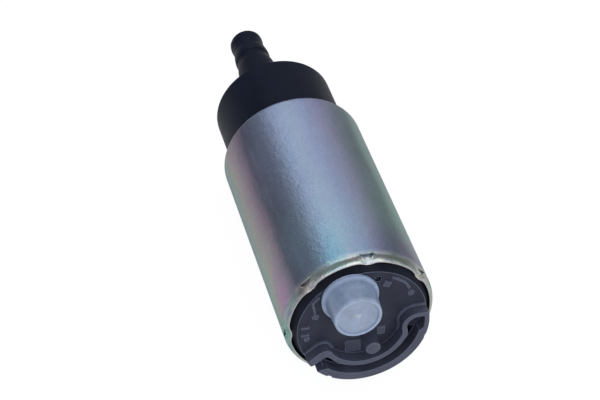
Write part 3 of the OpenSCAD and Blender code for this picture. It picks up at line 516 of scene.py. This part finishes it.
def banded(f, angle, stops):
    """The tint at an angle about the axis, with its painted reflection bands."""
    held = [((degrees + 180) / 360, tuple(c * RAMP_SHARE for c in rgb)) for degrees, rgb in stops]
    return f.tinted(f.ramp(f.span(angle, -math.pi, math.pi), held), (1 / RAMP_SHARE,) * 3)


def plated_steel():
    """Zinc-plated steel whose clear coat shows soft rainbow bands along the case, and whose bands also paint
    its reflections darker and lighter by angle.
    """
    case = settings("case")
    f = Finish("plated_steel")
    steel = Vector(case.steel)
    x, y, z = f.coordinates()
    station = f.math("SUBTRACT", y, INLET_Y)
    wander = f.noise(12, 4, 0.6, (1, 2.0, 1))
    angle = f.plus(f.math("ARCTAN2", z, x), f.span(wander, 0.25, 0.75, -0.09, 0.09))
    # The bands all along the case, and the film near the inlet, which paint reflection as well as tint
    tint = banded(f, angle, TINT_AND_REFLECTION_BANDS)
    near = f.times(f.span(station, 19 * MM, 3 * MM), case.film)
    slanted = f.plus(angle, f.span(station, 0.0, 19 * MM, -0.05, 0.05))
    tint = f.mix(near, tint, f.tinted(tint, banded(f, slanted, FILM_AND_REFLECTION_BANDS)))
    # Greener towards the inlet, more violet towards the outlet
    along = f.ramp(f.span(station, 6 * MM, 62 * MM), [
        (0.0, (0.855, 0.900, 0.885)), (0.15, (0.890, 0.965, 0.905)), (0.5, (0.873, 0.873, 0.873)),
        (1.0, (0.882, 0.837, 0.873))])
    tint = f.tinted(tint, along)
    # Pink and blue blotches where the coat is thicker, stretched along the case
    blotch = f.noise(5.5, 4, 0.62, (1, 3.0, 1), (3, 1, 2))
    patches = f.ramp(blotch, [(0.28, (0.86, 0.95, 1.0)), (0.45, (0.95, 0.95, 0.95)),
                              (0.57, (1.0, 0.90, 0.98)), (0.70, (0.84, 0.98, 0.98))])
    tint = f.mix(0.55, tint, f.tinted(tint, patches))
    base = f.mix(case.tint, steel, f.tinted(tint, steel))
    # Fine speckle of the plating and a soft cloud of wear
    speckle = f.noise(0.34, 4, 0.75, (1, 1.5, 1))
    cloud = f.noise(2.4, 5, 0.7, (1, 1.6, 1), (5, 2, 7))
    base = f.mix(f.span(speckle, 0.32, 0.68), f.tinted(base, (1.1, 1.1, 1.08)),
                 f.tinted(base, (0.86, 0.88, 0.92)))
    base = f.mix(f.times(f.span(cloud, 0.4, 0.65), 0.35), base, f.tinted(base, (0.84, 0.88, 0.9)))
    # Curled band at the inlet: paler, with turned lines, cream patches and a pink cut edge
    uneven = f.plus(station, f.span(wander, 0.3, 0.7, -0.25 * MM, 0.25 * MM))
    band = f.span(uneven, case.curl + 1.0 * MM, case.curl - 1.2 * MM)
    lines = f.noise(0.14, 3, 0.6, (90, 1, 90))
    patch = f.noise(3.6, 4, 0.6, (1, 0.16, 1), (1, 4, 8))
    cream = f.ramp(patch, [(0.30, (0.34, 0.38, 0.42)), (0.44, (0.46, 0.50, 0.49)), (0.56, (0.64, 0.66, 0.56)),
                           (0.70, (0.68, 0.56, 0.62))])
    # The curl's tints by angle, which also paint reflection shade
    cream = f.tinted(cream, banded(f, angle, CURL_TINT_AND_REFLECTION))
    # The case's tints go on over the curl, fainter
    cream = f.mix(0.4, cream, f.tinted(cream, tint))
    cream = f.mix(f.times(f.span(lines, 0.45, 0.62), 0.3), cream, f.tinted(cream, (0.62, 0.66, 0.70)))
    base = f.mix(f.times(band, 0.85), base, cream)
    base = f.mix(f.span(station, 0.2 * MM, 0.02 * MM), base, (0.38, 0.34, 0.37))
    # Paler edges in the curl and the stake marks, partly polish and partly a painted highlight
    base = f.mix(f.times(f.edges(0.22 * MM), band, 0.35), base, (0.66, 0.70, 0.64))
    f.set(Base_Color=base, Metallic=1.0, Specular_Tint=(0.60, 0.64, 0.64),
          Roughness=f.span(f.plus(speckle, f.times(band, -0.25)), 0.1, 0.85, case.roughness - 0.1,
                           case.roughness + 0.08))
    # Mottled skin of the drawn sheet, which breaks up the reflections, with turned lines and scratches
    mottle = f.noise(1.3, 5, 0.74, (1, 1.5, 1), (2, 6, 3))
    scratch = f.span(f.noise(0.28, 2, 0.6, (1, 24, 1), (9, 0, 4)), 0.70, 0.78)
    f.bump(f.plus(f.times(speckle, 0.9), f.times(mottle, 19.0), f.times(lines, band, 1.6),
                  f.times(scratch, -0.4)), 0.012, 0.6)
    return f.material


def clouded_plastic(center, tip):
    """Soft milky plastic with painted highlights along its rims and edges, lighter at the end, and a gate
    mark in the middle of the end.
    """
    cap = settings("cap")
    f = Finish("clouded_plastic")
    x, y, z = f.coordinates()
    haze = f.noise(2.2, 4, 0.6, (1, 1.8, 1))
    streak = f.noise(1.0, 3, 0.6, (2.4, 1, 0.7))
    fine = f.noise(0.4, 2, 0.6)
    tone = Vector(cap.plastic)
    aside, above = f.math("SUBTRACT", x, center.x), f.math("SUBTRACT", z, center.z)
    away = f.math("SQRT", f.plus(f.math("POWER", aside, 2.0), f.math("POWER", above, 2.0)))
    gate = f.times(f.span(away, 1.3 * MM, 0.15 * MM), f.span(streak, 0.42, 0.6))
    base = f.mix(f.span(haze, 0.35, 0.65), tone * 0.86, tone * 1.16)
    # Painted highlights along the rims and edges
    base = f.mix(f.times(f.edges(0.8 * MM), 0.5), base, tone * 1.5)
    base = f.mix(f.times(f.edges(0.3 * MM), 0.8), base, tone * 1.7 + Vector((0.10, 0.10, 0.06)))
    end = f.span(y, INLET_Y + (tip + 1.0) * MM, INLET_Y + (tip + 0.76) * MM)
    milky = (0.66, 0.71, 0.80)
    base = f.mix(f.times(end, 0.18), base, milky)
    base = f.mix(f.times(gate, 0.8), base, milky)
    f.set(Base_Color=base, Roughness=f.span(fine, 0.3, 0.7, 0.3, 0.42), IOR=1.49,
          Transmission_Weight=cap.clearness, Subsurface_Weight=0.5, Subsurface_Radius=(1.0, 1.0, 1.0),
          Subsurface_Scale=1.2 * MM)
    f.bump(f.plus(haze, f.times(fine, 0.15), f.times(gate, 4.0)), 0.03, 0.35, 0.1 * MM)
    return f.material


def dress(finish, *nodes):
    """Gives CAD nodes that stay a finish in their own material slots."""
    for name in nodes:
        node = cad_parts[name]
        for holder in node.material_slots:
            holder.material = finish


# Operators

class StepOperator:
    """Shared options of the operators."""
    bl_options = {"REGISTER", "UNDO"}


class PUMP_OT_case(StepOperator, bpy.types.Operator):
    """Model the rolled and staked steel case"""
    bl_idname = "fuel_pump.case"
    bl_label = "Case"

    def profile(self, case):
        """Wall of the case as (radius, station) points in millimetres, round from the inlet lip."""
        r, length = case.radius / MM, CASE_LENGTH / MM
        end, bore = r - case.end_wall / MM, r - case.wall / MM
        edge = case.edge_radius / MM
        outer = [(r - 1.187, 0.0), (r - 1.08, 0.03)]
        outer += [(r - 2 + 2 * math.cos(a), 1.827 + 2 * math.sin(a))
                  for a in (math.radians(-64 + 2 * i) for i in range(31))]
        outer += [(r, s) for s in (1.86, 1.90, 1.94, 1.98, 2.02, 2.05, 2.08, 2.11, 2.15, 2.2, 2.3, 2.5, 2.8)]
        outer += [(r, s) for s in (4.0, 16.0, 32.0, 48.0, 60.0)]
        outer += arc((r - 1.3, length - 1.3), 1.3, 0, 90, 9)
        outer += [(edge + 0.06, length), (edge, length - 0.06)]
        seat = length - case.end_wall / MM
        inner = [(edge, seat + 0.04), (edge + 0.05, seat), (end, seat), (end, length - 6.1),
                 (bore, length - 6.1), (bore, 13.5), (end, 13.5), (end, 3.2), (end, 2.4)]
        inner += [(end - 0.06, 1.95), (end - 0.17, 1.62), (end - 0.30, 1.30), (end - 0.46, 1.02),
                  (r - 1.52, 0.78), (r - 1.46, 0.62), (r - 1.38, 0.42), (r - 1.29, 0.22), (r - 1.22, 0.06)]
        return outer + inner

    def stake(self, vertex, case):
        """Pushes the lip inwards at the stakes and sinks their triangular marks."""
        r, degrees, s = local(vertex.co)
        if s > 3.0:
            return
        start, step = math.degrees(case.stake_start), math.degrees(case.stake_step)
        offsets = [(degrees - start - step * i + 180) % 360 - 180 for i in range(case.stakes)]
        off = min(offsets, key=abs)
        top = case.radius / MM
        outside = r > top - 1.2 * smooth_step(2.4, -0.2, s) - 0.35
        # The lip gives way over a wide arc until it meets the inlet cover's chamfer
        push = case.lip_push / MM * math.exp(-(off / 5.6) ** 2) * smooth_step(2.1, 0.15, s)
        chamfer = CHAMFER_RADIUS + CHAMFER_SLOPE * max(s, 0.0)
        lowest = chamfer if not outside else chamfer + 0.05 + 0.75 * smooth_step(0.0, 0.9, s)
        target = max(r - push, min(lowest, r))
        # The mark of the tool: a flat triangle, deepest at its top, between two raised creases
        if outside:
            half = case.stake_width / MM / 2 * max(s, 0.05) / 2.05
            across = abs(math.radians(off)) * r
            inside = smooth_step(half + 0.09, half - 0.09, across) * smooth_step(2.13, 2.04, s)
            floor = (top - case.stake_depth / MM * (0.3 + 0.7 * (s / 2.05))) / math.cos(math.radians(off))
            target += 0.07 * math.exp(-((across - half - 0.2) / 0.14) ** 2) * smooth_step(2.4, 1.9, s) * \
                smooth_step(0.2, 0.7, s)
            target = min(target, top)
            if inside > 0 and floor < target:
                target += (floor - target) * inside
        vertex.co.x *= target / r
        vertex.co.z *= target / r

    def execute(self, context):
        case = settings("case")
        bm = bmesh.new()
        spin_profile(bm, self.profile(case), Vector((0, 0, 0)), 720)
        for vertex in bm.verts:
            self.stake(vertex, case)
        mesh = mesh_from(bm, "case_sheet", 30)
        add_piece("case_sheet", mesh, "housing", [plated_steel()], ["case_shell"])
        return {"FINISHED"}


class PUMP_OT_cap(StepOperator, bpy.types.Operator):
    """Model the clouded transport cap on the inlet nozzle"""
    bl_idname = "fuel_pump.cap"
    bl_label = "Inlet cap"

    def execute(self, context):
        cap = settings("cap")
        flange, body, end = cap.flange / MM, cap.body / MM, cap.end / MM
        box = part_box("inlet_cap")
        base = (box[1].y - INLET_Y) / MM
        tip = (box[0].y - INLET_Y) / MM
        center = Vector(((box[0].x + box[1].x) / 2, 0, (box[0].z + box[1].z) / 2))
        lip = base - 1.0
        slope = (end - body) / (tip - lip)
        points = [(5.1, base), (flange - 0.12, base)]
        points += arc((flange - 0.16, base - 0.16), 0.16, 60, -10, 3)
        points += arc((flange - 0.28, lip + 0.28), 0.28, 0, -90, 4)
        points += [(body + 0.50, lip), (body + 0.46, lip - 0.16), (body + 0.38, lip - 0.24),
                   (body + 0.16, lip - 0.28), (body + 0.05, lip - 0.36)]
        points += [(body + slope * (s - lip), s) for s in (lip - 0.6, lip - 2.4, lip - 4.4, tip + 0.75)]
        points += arc((end - 0.36, tip + 0.36), 0.36, 5, -90, 6)
        points += arc((end - 0.52, tip + 0.26), 0.26, -90, -170, 4)
        points += [(end - 0.82, tip + 0.5), (end - 0.95, tip + 0.66), (end - 1.2, tip + 0.74),
                   (2.6, tip + 0.70), (0.9, tip + 0.66), (0.45, tip + 0.64), (0.30, tip + 0.52),
                   (0.0, tip + 0.50)]
        wall = tip + 1.18
        points += [(0.0, wall), (4.6, wall), (5.0, wall + 0.3), (5.1, wall + 0.8)]
        bm = bmesh.new()
        spin_profile(bm, points, center, 128)
        mesh = mesh_from(bm, "cap_moulding", 40)
        add_piece("cap_moulding", mesh, "cap", [clouded_plastic(center, tip)], ["inlet_cap"])
        return {"FINISHED"}


class PUMP_OT_covers(StepOperator, bpy.types.Operator):
    """Finish the moulded inlet and outlet covers and the seal"""
    bl_idname = "fuel_pump.covers"
    bl_label = "Covers"

    def execute(self, context):
        cover = settings("cover")
        edge = cover.edge / MM
        # The inlet cover's colour holds painted shade on its recessed face, paler raised tops and painted
        # edge highlights
        inlet = moulded_plastic("inlet_plastic", cover.inlet_plastic, 0.46, edge, edge_wear_and_highlight=0.9, shine=0.3,
                                line=2.7, raised=(-1.6, -4.6))
        outlet = moulded_plastic("outlet_plastic", cover.outlet_plastic, 0.5, edge, edge_wear_and_highlight=0.3, dust=0.06,
                                 shine=0.06, gleam=(0.55, 0.75, 1.0))
        dress(inlet, "inlet_cover", "channel_ring", "pump_casing")
        dress(outlet, "outlet_cover")
        dress(soft_rubber("seal_rubber", (0.012, 0.012, 0.013)), "case_seal")
        return {"FINISHED"}


class PUMP_OT_turbine(StepOperator, bpy.types.Operator):
    """Finish the impeller, the thrust button and the bearings"""
    bl_idname = "fuel_pump.turbine"
    bl_label = "Turbine"

    def execute(self, context):
        steel = settings("motor").steel
        dress(moulded_plastic("impeller_resin", (0.035, 0.022, 0.014), 0.38, 0.06, edge_wear_and_highlight=0.5, grain=0.2,
                              dust=0.1), "impeller")
        dress(metal("hardened_steel", steel, 0.2, 0.2, stain=0.1), "thrust_button")
        dress(pressed_powder("sintered_bronze", (0.48, 0.30, 0.12), 0.45, 0.14, metallic=0.9),
              "lower_bearing", "upper_bearing")
        return {"FINISHED"}


class PUMP_OT_armature(StepOperator, bpy.types.Operator):
    """Wind the armature and finish the shaft, core and commutator"""
    bl_idname = "fuel_pump.armature"
    bl_label = "Armature"

    def wind(self, motor, copper):
        """Winds each coil as separate turns that pass through two slots and round the hub at both ends."""
        low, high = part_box("windings")
        core_low, core_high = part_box("armature_core")
        rim = (high.x - low.x) / 2 - motor.wire
        # How near the turns pass to the axis at the hub, and at the bottom of the slots
        hub, floor = 6.15 * MM, 6.7 * MM
        step = TAU / motor.slots
        head = high.y - core_high.y - 2 * motor.wire
        turns = []
        for coil in range(motor.slots):
            for turn in range(motor.turns):
                out = turn / (motor.turns - 1)
                radius = floor + (rim - 0.2 * MM - floor) * out
                aside = 0.42 * (radius * math.sin(step / 2) - 1.7 * MM) / radius
                first, last = coil * step + aside, (coil + 3) * step - aside
                near = hub + (rim - hub) * 0.92 * out
                arc_out = []
                for k in range(11):
                    t = k / 10
                    bend = math.sin(math.pi * t) ** 0.6
                    rise = (0.9 + head / MM * 0.15) * MM + (head - 1.3 * MM) * t
                    arc_out.append((radius + (near - radius) * bend, first + (last - first) * t,
                                    rise * min(1.0, 0.35 + 3 * t, 0.35 + 3 * (1 - t))))
                through = [core_low.y + (core_high.y - core_low.y) * k / 4 for k in range(5)]
                line = [(radius, first, y) for y in through]
                line += [(r, a, core_high.y + h) for r, a, h in arc_out]
                line += [(radius, last, y) for y in reversed(through)]
                line += [(r, a, core_low.y - h) for r, a, h in reversed(arc_out)]
                turns.append([Vector((r * math.cos(a), y, r * math.sin(a))) for r, a, y in line])
        wire("armature_winding", turns, motor.wire, "rotor", "copper", copper, ["windings"], closed=True,
             sides=1)

    def execute(self, context):
        motor = settings("motor")
        copper = enamelled_wire("enamelled_copper", motor.copper)
        dress(metal("ground_steel", motor.steel, 0.2, 0.12, (1, 0.12, 1), stain=0.12), "rotor_shaft")
        dress(laminated_iron("laminated_iron", (0.30, 0.30, 0.31)), "armature_core")
        dress(moulded_plastic("slot_insulation", (0.62, 0.56, 0.42), 0.4, 0.06, edge_wear_and_highlight=0.1, grain=0.3,
                              dust=0.3), "insulator_inlet_end", "insulator_outlet_end")
        self.wind(motor, copper)
        dress(moulded_plastic("commutator_resin", (0.03, 0.018, 0.012), 0.4, 0.06), "commutator_base")
        dress(metal("worn_copper", (0.62, 0.32, 0.18), 0.28, 0.1, stain=0.45), "commutator_segments")
        return {"FINISHED"}


class PUMP_OT_field(StepOperator, bpy.types.Operator):
    """Finish the magnets and their clips"""
    bl_idname = "fuel_pump.field"
    bl_label = "Magnets"

    def execute(self, context):
        dress(pressed_powder("ferrite", (0.045, 0.045, 0.05), 0.6, 0.16), "magnet_upper", "magnet_lower",
              "choke_core_positive", "choke_core_negative")
        dress(metal("spring_strip", settings("motor").steel, 0.3, 0.2, (1, 8, 1), stain=0.3),
              "magnet_clip_left", "magnet_clip_right")
        return {"FINISHED"}


class PUMP_OT_brush_gear(StepOperator, bpy.types.Operator):
    """Finish the brushes, springs, leads, chokes, terminals and their holder"""
    bl_idname = "fuel_pump.brush_gear"
    bl_label = "Brush gear"

    def lead(self, pole, side, motor, braid):
        """A braided lead from a brush to the near end of its choke."""
        a = motor.socket + side * math.pi / 2
        top = local(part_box("brush_" + pole)[1])[2]
        low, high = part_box("choke_coil_" + pole)
        choke = (low + high) / 2 / MM
        out = choke.x * math.cos(a) + choke.z * math.sin(a)
        along = choke.z * math.cos(a) - choke.x * math.sin(a)
        end = local(low)[2] + 0.9
        route = [(8.8, 0, top + 0.4), (9.9, 0, top + 0.7), (10.85, 0, top + 0.4), (11.15, 0, top - 0.6),
                 (11.15, along * 0.1, top - 2.2), (11.15, along * 0.38, end + 1.2),
                 (out + 3.4, along * 0.67, end + 0.3), (out + 1.62, along + side * 2.35, end)]
        places = [Vector(((r * math.cos(a) - c * math.sin(a)) * MM, INLET_Y + s * MM,
                          (r * math.sin(a) + c * math.cos(a)) * MM)) for r, c, s in route]
        piece = wire("lead_" + pole, [places], motor.lead, None, "copper", braid, ["brush_lead_" + pole])
        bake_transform(piece)

    def execute(self, context):
        motor = settings("motor")
        dress(moulded_plastic("holder_resin", (0.055, 0.06, 0.07), 0.42, 0.08, edge_wear_and_highlight=0.3, grain=0.25,
                              dust=0.2), "brush_holder")
        dress(pressed_powder("brush_carbon", (0.03, 0.03, 0.032), 0.55, 0.12, metallic=0.2),
              "brush_positive", "brush_negative")
        steel = metal("spring_wire", motor.steel, 0.24, 0.1)
        braid = metal("braided_copper", (0.62, 0.30, 0.16), 0.42, 0.1, stain=0.3)
        choke = enamelled_wire("choke_copper", motor.copper)
        for pole, side in (("positive", 1), ("negative", -1)):
            self.lead(pole, side, motor, braid)
            spring("brush_coil_" + pole, "brush_spring_" + pole, 7, steel)
            wire("choke_winding_" + pole, [coil_in("choke_coil_" + pole, motor.choke_wire, 12, 0.2)],
                 motor.choke_wire, "housing", "copper", choke, ["choke_coil_" + pole])
        dress(metal("terminal_brass", (0.68, 0.50, 0.22), 0.26, 0.15, (1, 6, 1), stain=0.3),
              "terminal_positive", "terminal_negative")
        return {"FINISHED"}


class PUMP_OT_valves(StepOperator, bpy.types.Operator):
    """Finish the check valve and the relief valve"""
    bl_idname = "fuel_pump.valves"
    bl_label = "Valves"

    def execute(self, context):
        motor = settings("motor")
        dress(metal("valve_brass", (0.70, 0.52, 0.24), 0.3, 0.15), "check_valve", "relief_plug")
        steel = metal("valve_spring_wire", motor.steel, 0.25, 0.1)
        spring("check_coil", "check_valve_spring", 7, steel)
        spring("relief_coil", "relief_spring", 4, steel)
        dress(metal("ball_steel", (0.62, 0.63, 0.65), 0.12, 0.3, stain=0.05), "relief_ball")
        dress(moulded_plastic("spider_resin", (0.02, 0.02, 0.022), 0.4, 0.06), "check_valve_retainer")
        return {"FINISHED"}


class PUMP_OT_studio(StepOperator, bpy.types.Operator):
    """Set the floor, the lights and the camera"""
    bl_idname = "fuel_pump.studio"
    bl_label = "Studio"

    def floor_material(self, rgb):
        f = Finish("floor")
        f.set(Base_Color=f.mix(f.noise(60, 2, 0.5), Vector(rgb) * 0.985, Vector(rgb)), Roughness=0.9,
              Specular_IOR_Level=0.1)
        # The camera and reflections see the floor as white, with most of its shadow taken out
        seen = f.rays()
        straight = f.math("MINIMUM", f.plus(seen["Is Camera Ray"], seen["Is Glossy Ray"],
                                            seen["Is Transmission Ray"]), 1.0)
        glow = f.node("ShaderNodeEmission", {"Color": (1, 1, 1, 1), "Strength": 1.06})
        blend = f.node("ShaderNodeMixShader", {0: f.times(straight, 0.9), 1: f.shader.outputs[0],
                                               2: glow.outputs[0]})
        f.put(f.tree.nodes["Material Output"].inputs["Surface"], blend.outputs[0])
        return f.material

    def floor(self, rgb):
        bm = bmesh.new()
        bmesh.ops.create_grid(bm, x_segments=8, y_segments=8, size=4.0)
        bmesh.ops.translate(bm, verts=bm.verts, vec=(0, 0, FLOOR_Z))
        mesh = bpy.data.meshes.new("floor")
        bm.to_mesh(mesh)
        bm.free()
        floor = bpy.data.objects.new("floor", mesh)
        bpy.context.scene.collection.objects.link(floor)
        mesh.materials.append(self.floor_material(rgb))

    def room(self, studio):
        """The camera sees a white room, surfaces get its soft light, and reflections see a dimmer one."""
        world = bpy.data.worlds.new("room")
        world.use_nodes = True
        bpy.context.scene.world = world
        w = Nodes(world.node_tree)
        seen = w.rays()
        level = studio.room
        for ray, strength in (("Is Camera Ray", 1.03), ("Is Transmission Ray", 1.0),
                              ("Is Diffuse Ray", studio.soft)):
            level = w.math("MULTIPLY_ADD", seen[ray], strength - studio.room, level)
        background = w.tree.nodes["Background"]
        w.put(background.inputs["Color"], (0.97, 0.98, 1.0, 1))
        w.put(background.inputs["Strength"], level)

    def lamp(self, name, place, target, width, height, power, rgb=(1, 1, 1)):
        data = bpy.data.lights.new(name, "AREA")
        data.shape = "RECTANGLE"
        data.size, data.size_y = width, height
        data.energy = power
        data.color = rgb
        lamp = bpy.data.objects.new(name, data)
        bpy.context.scene.collection.objects.link(lamp)
        lamp.location = place
        lamp.rotation_euler = (Vector(target) - Vector(place)).to_track_quat("-Z", "Y").to_euler()

    def camera(self):
        data = bpy.data.cameras.new("camera")
        data.lens = CAMERA_LENS
        data.sensor_width = 36.0
        data.clip_start, data.clip_end = 0.01, 20.0
        camera = bpy.data.objects.new("camera", data)
        bpy.context.scene.collection.objects.link(camera)
        camera.location = CAMERA_PLACE
        camera.rotation_euler = Vector(CAMERA_AIM).to_track_quat("-Z", "Y").to_euler()
        bpy.context.scene.camera = camera

    def execute(self, context):
        studio = settings("studio")
        self.floor(studio.floor)
        self.room(studio)
        pump = (0, 0, 0)
        self.lamp("key", (0.0, 0.62, 0.60), pump, 0.72, 0.5, studio.key, (0.97, 0.98, 1.0))
        self.lamp("side", (0.47, 0.62, 0.38), pump, 0.34, 0.4, studio.side, (1.0, 0.98, 0.97))
        self.lamp("fill", (0.3, -1.3, 0.6), pump, 1.7, 1.3, studio.fill)
        self.camera()
        context.scene.view_settings.view_transform = "Standard"
        return {"FINISHED"}


STEPS = (PUMP_OT_case, PUMP_OT_cap, PUMP_OT_covers, PUMP_OT_turbine, PUMP_OT_armature, PUMP_OT_field,
         PUMP_OT_brush_gear, PUMP_OT_valves, PUMP_OT_studio)

GROUPS = {"case": CaseSettings, "cap": CapSettings, "cover": CoverSettings, "motor": MotorSettings,
          "studio": StudioSettings}


class PUMP_PT_sidebar(bpy.types.Panel):
    """Lists the sizes and colours of the pump, and the steps that build it"""
    bl_idname = "PUMP_PT_sidebar"
    bl_label = "Fuel Pump"
    bl_space_type = "VIEW_3D"
    bl_region_type = "UI"
    bl_category = "Fuel Pump"

    def draw(self, context):
        for name, group in GROUPS.items():
            box = self.layout.box()
            box.label(text=name.capitalize())
            for prop in group.__annotations__:
                box.prop(settings(name), prop)
        for step in STEPS:
            self.layout.operator(step.bl_idname)


CLASSES = (*GROUPS.values(), *STEPS, PUMP_PT_sidebar)


def register():
    for cls in CLASSES:
        bpy.utils.register_class(cls)
    for name, group in GROUPS.items():
        setattr(bpy.types.Scene, "fuel_pump_" + name, PointerProperty(type=group))


def unregister():
    for name in GROUPS:
        delattr(bpy.types.Scene, "fuel_pump_" + name)
    for cls in reversed(CLASSES):
        bpy.utils.unregister_class(cls)


def main():
    register()
    for step in STEPS:
        getattr(bpy.ops.fuel_pump, step.bl_idname.split(".")[1])()


if __name__ == "__main__":
    main()
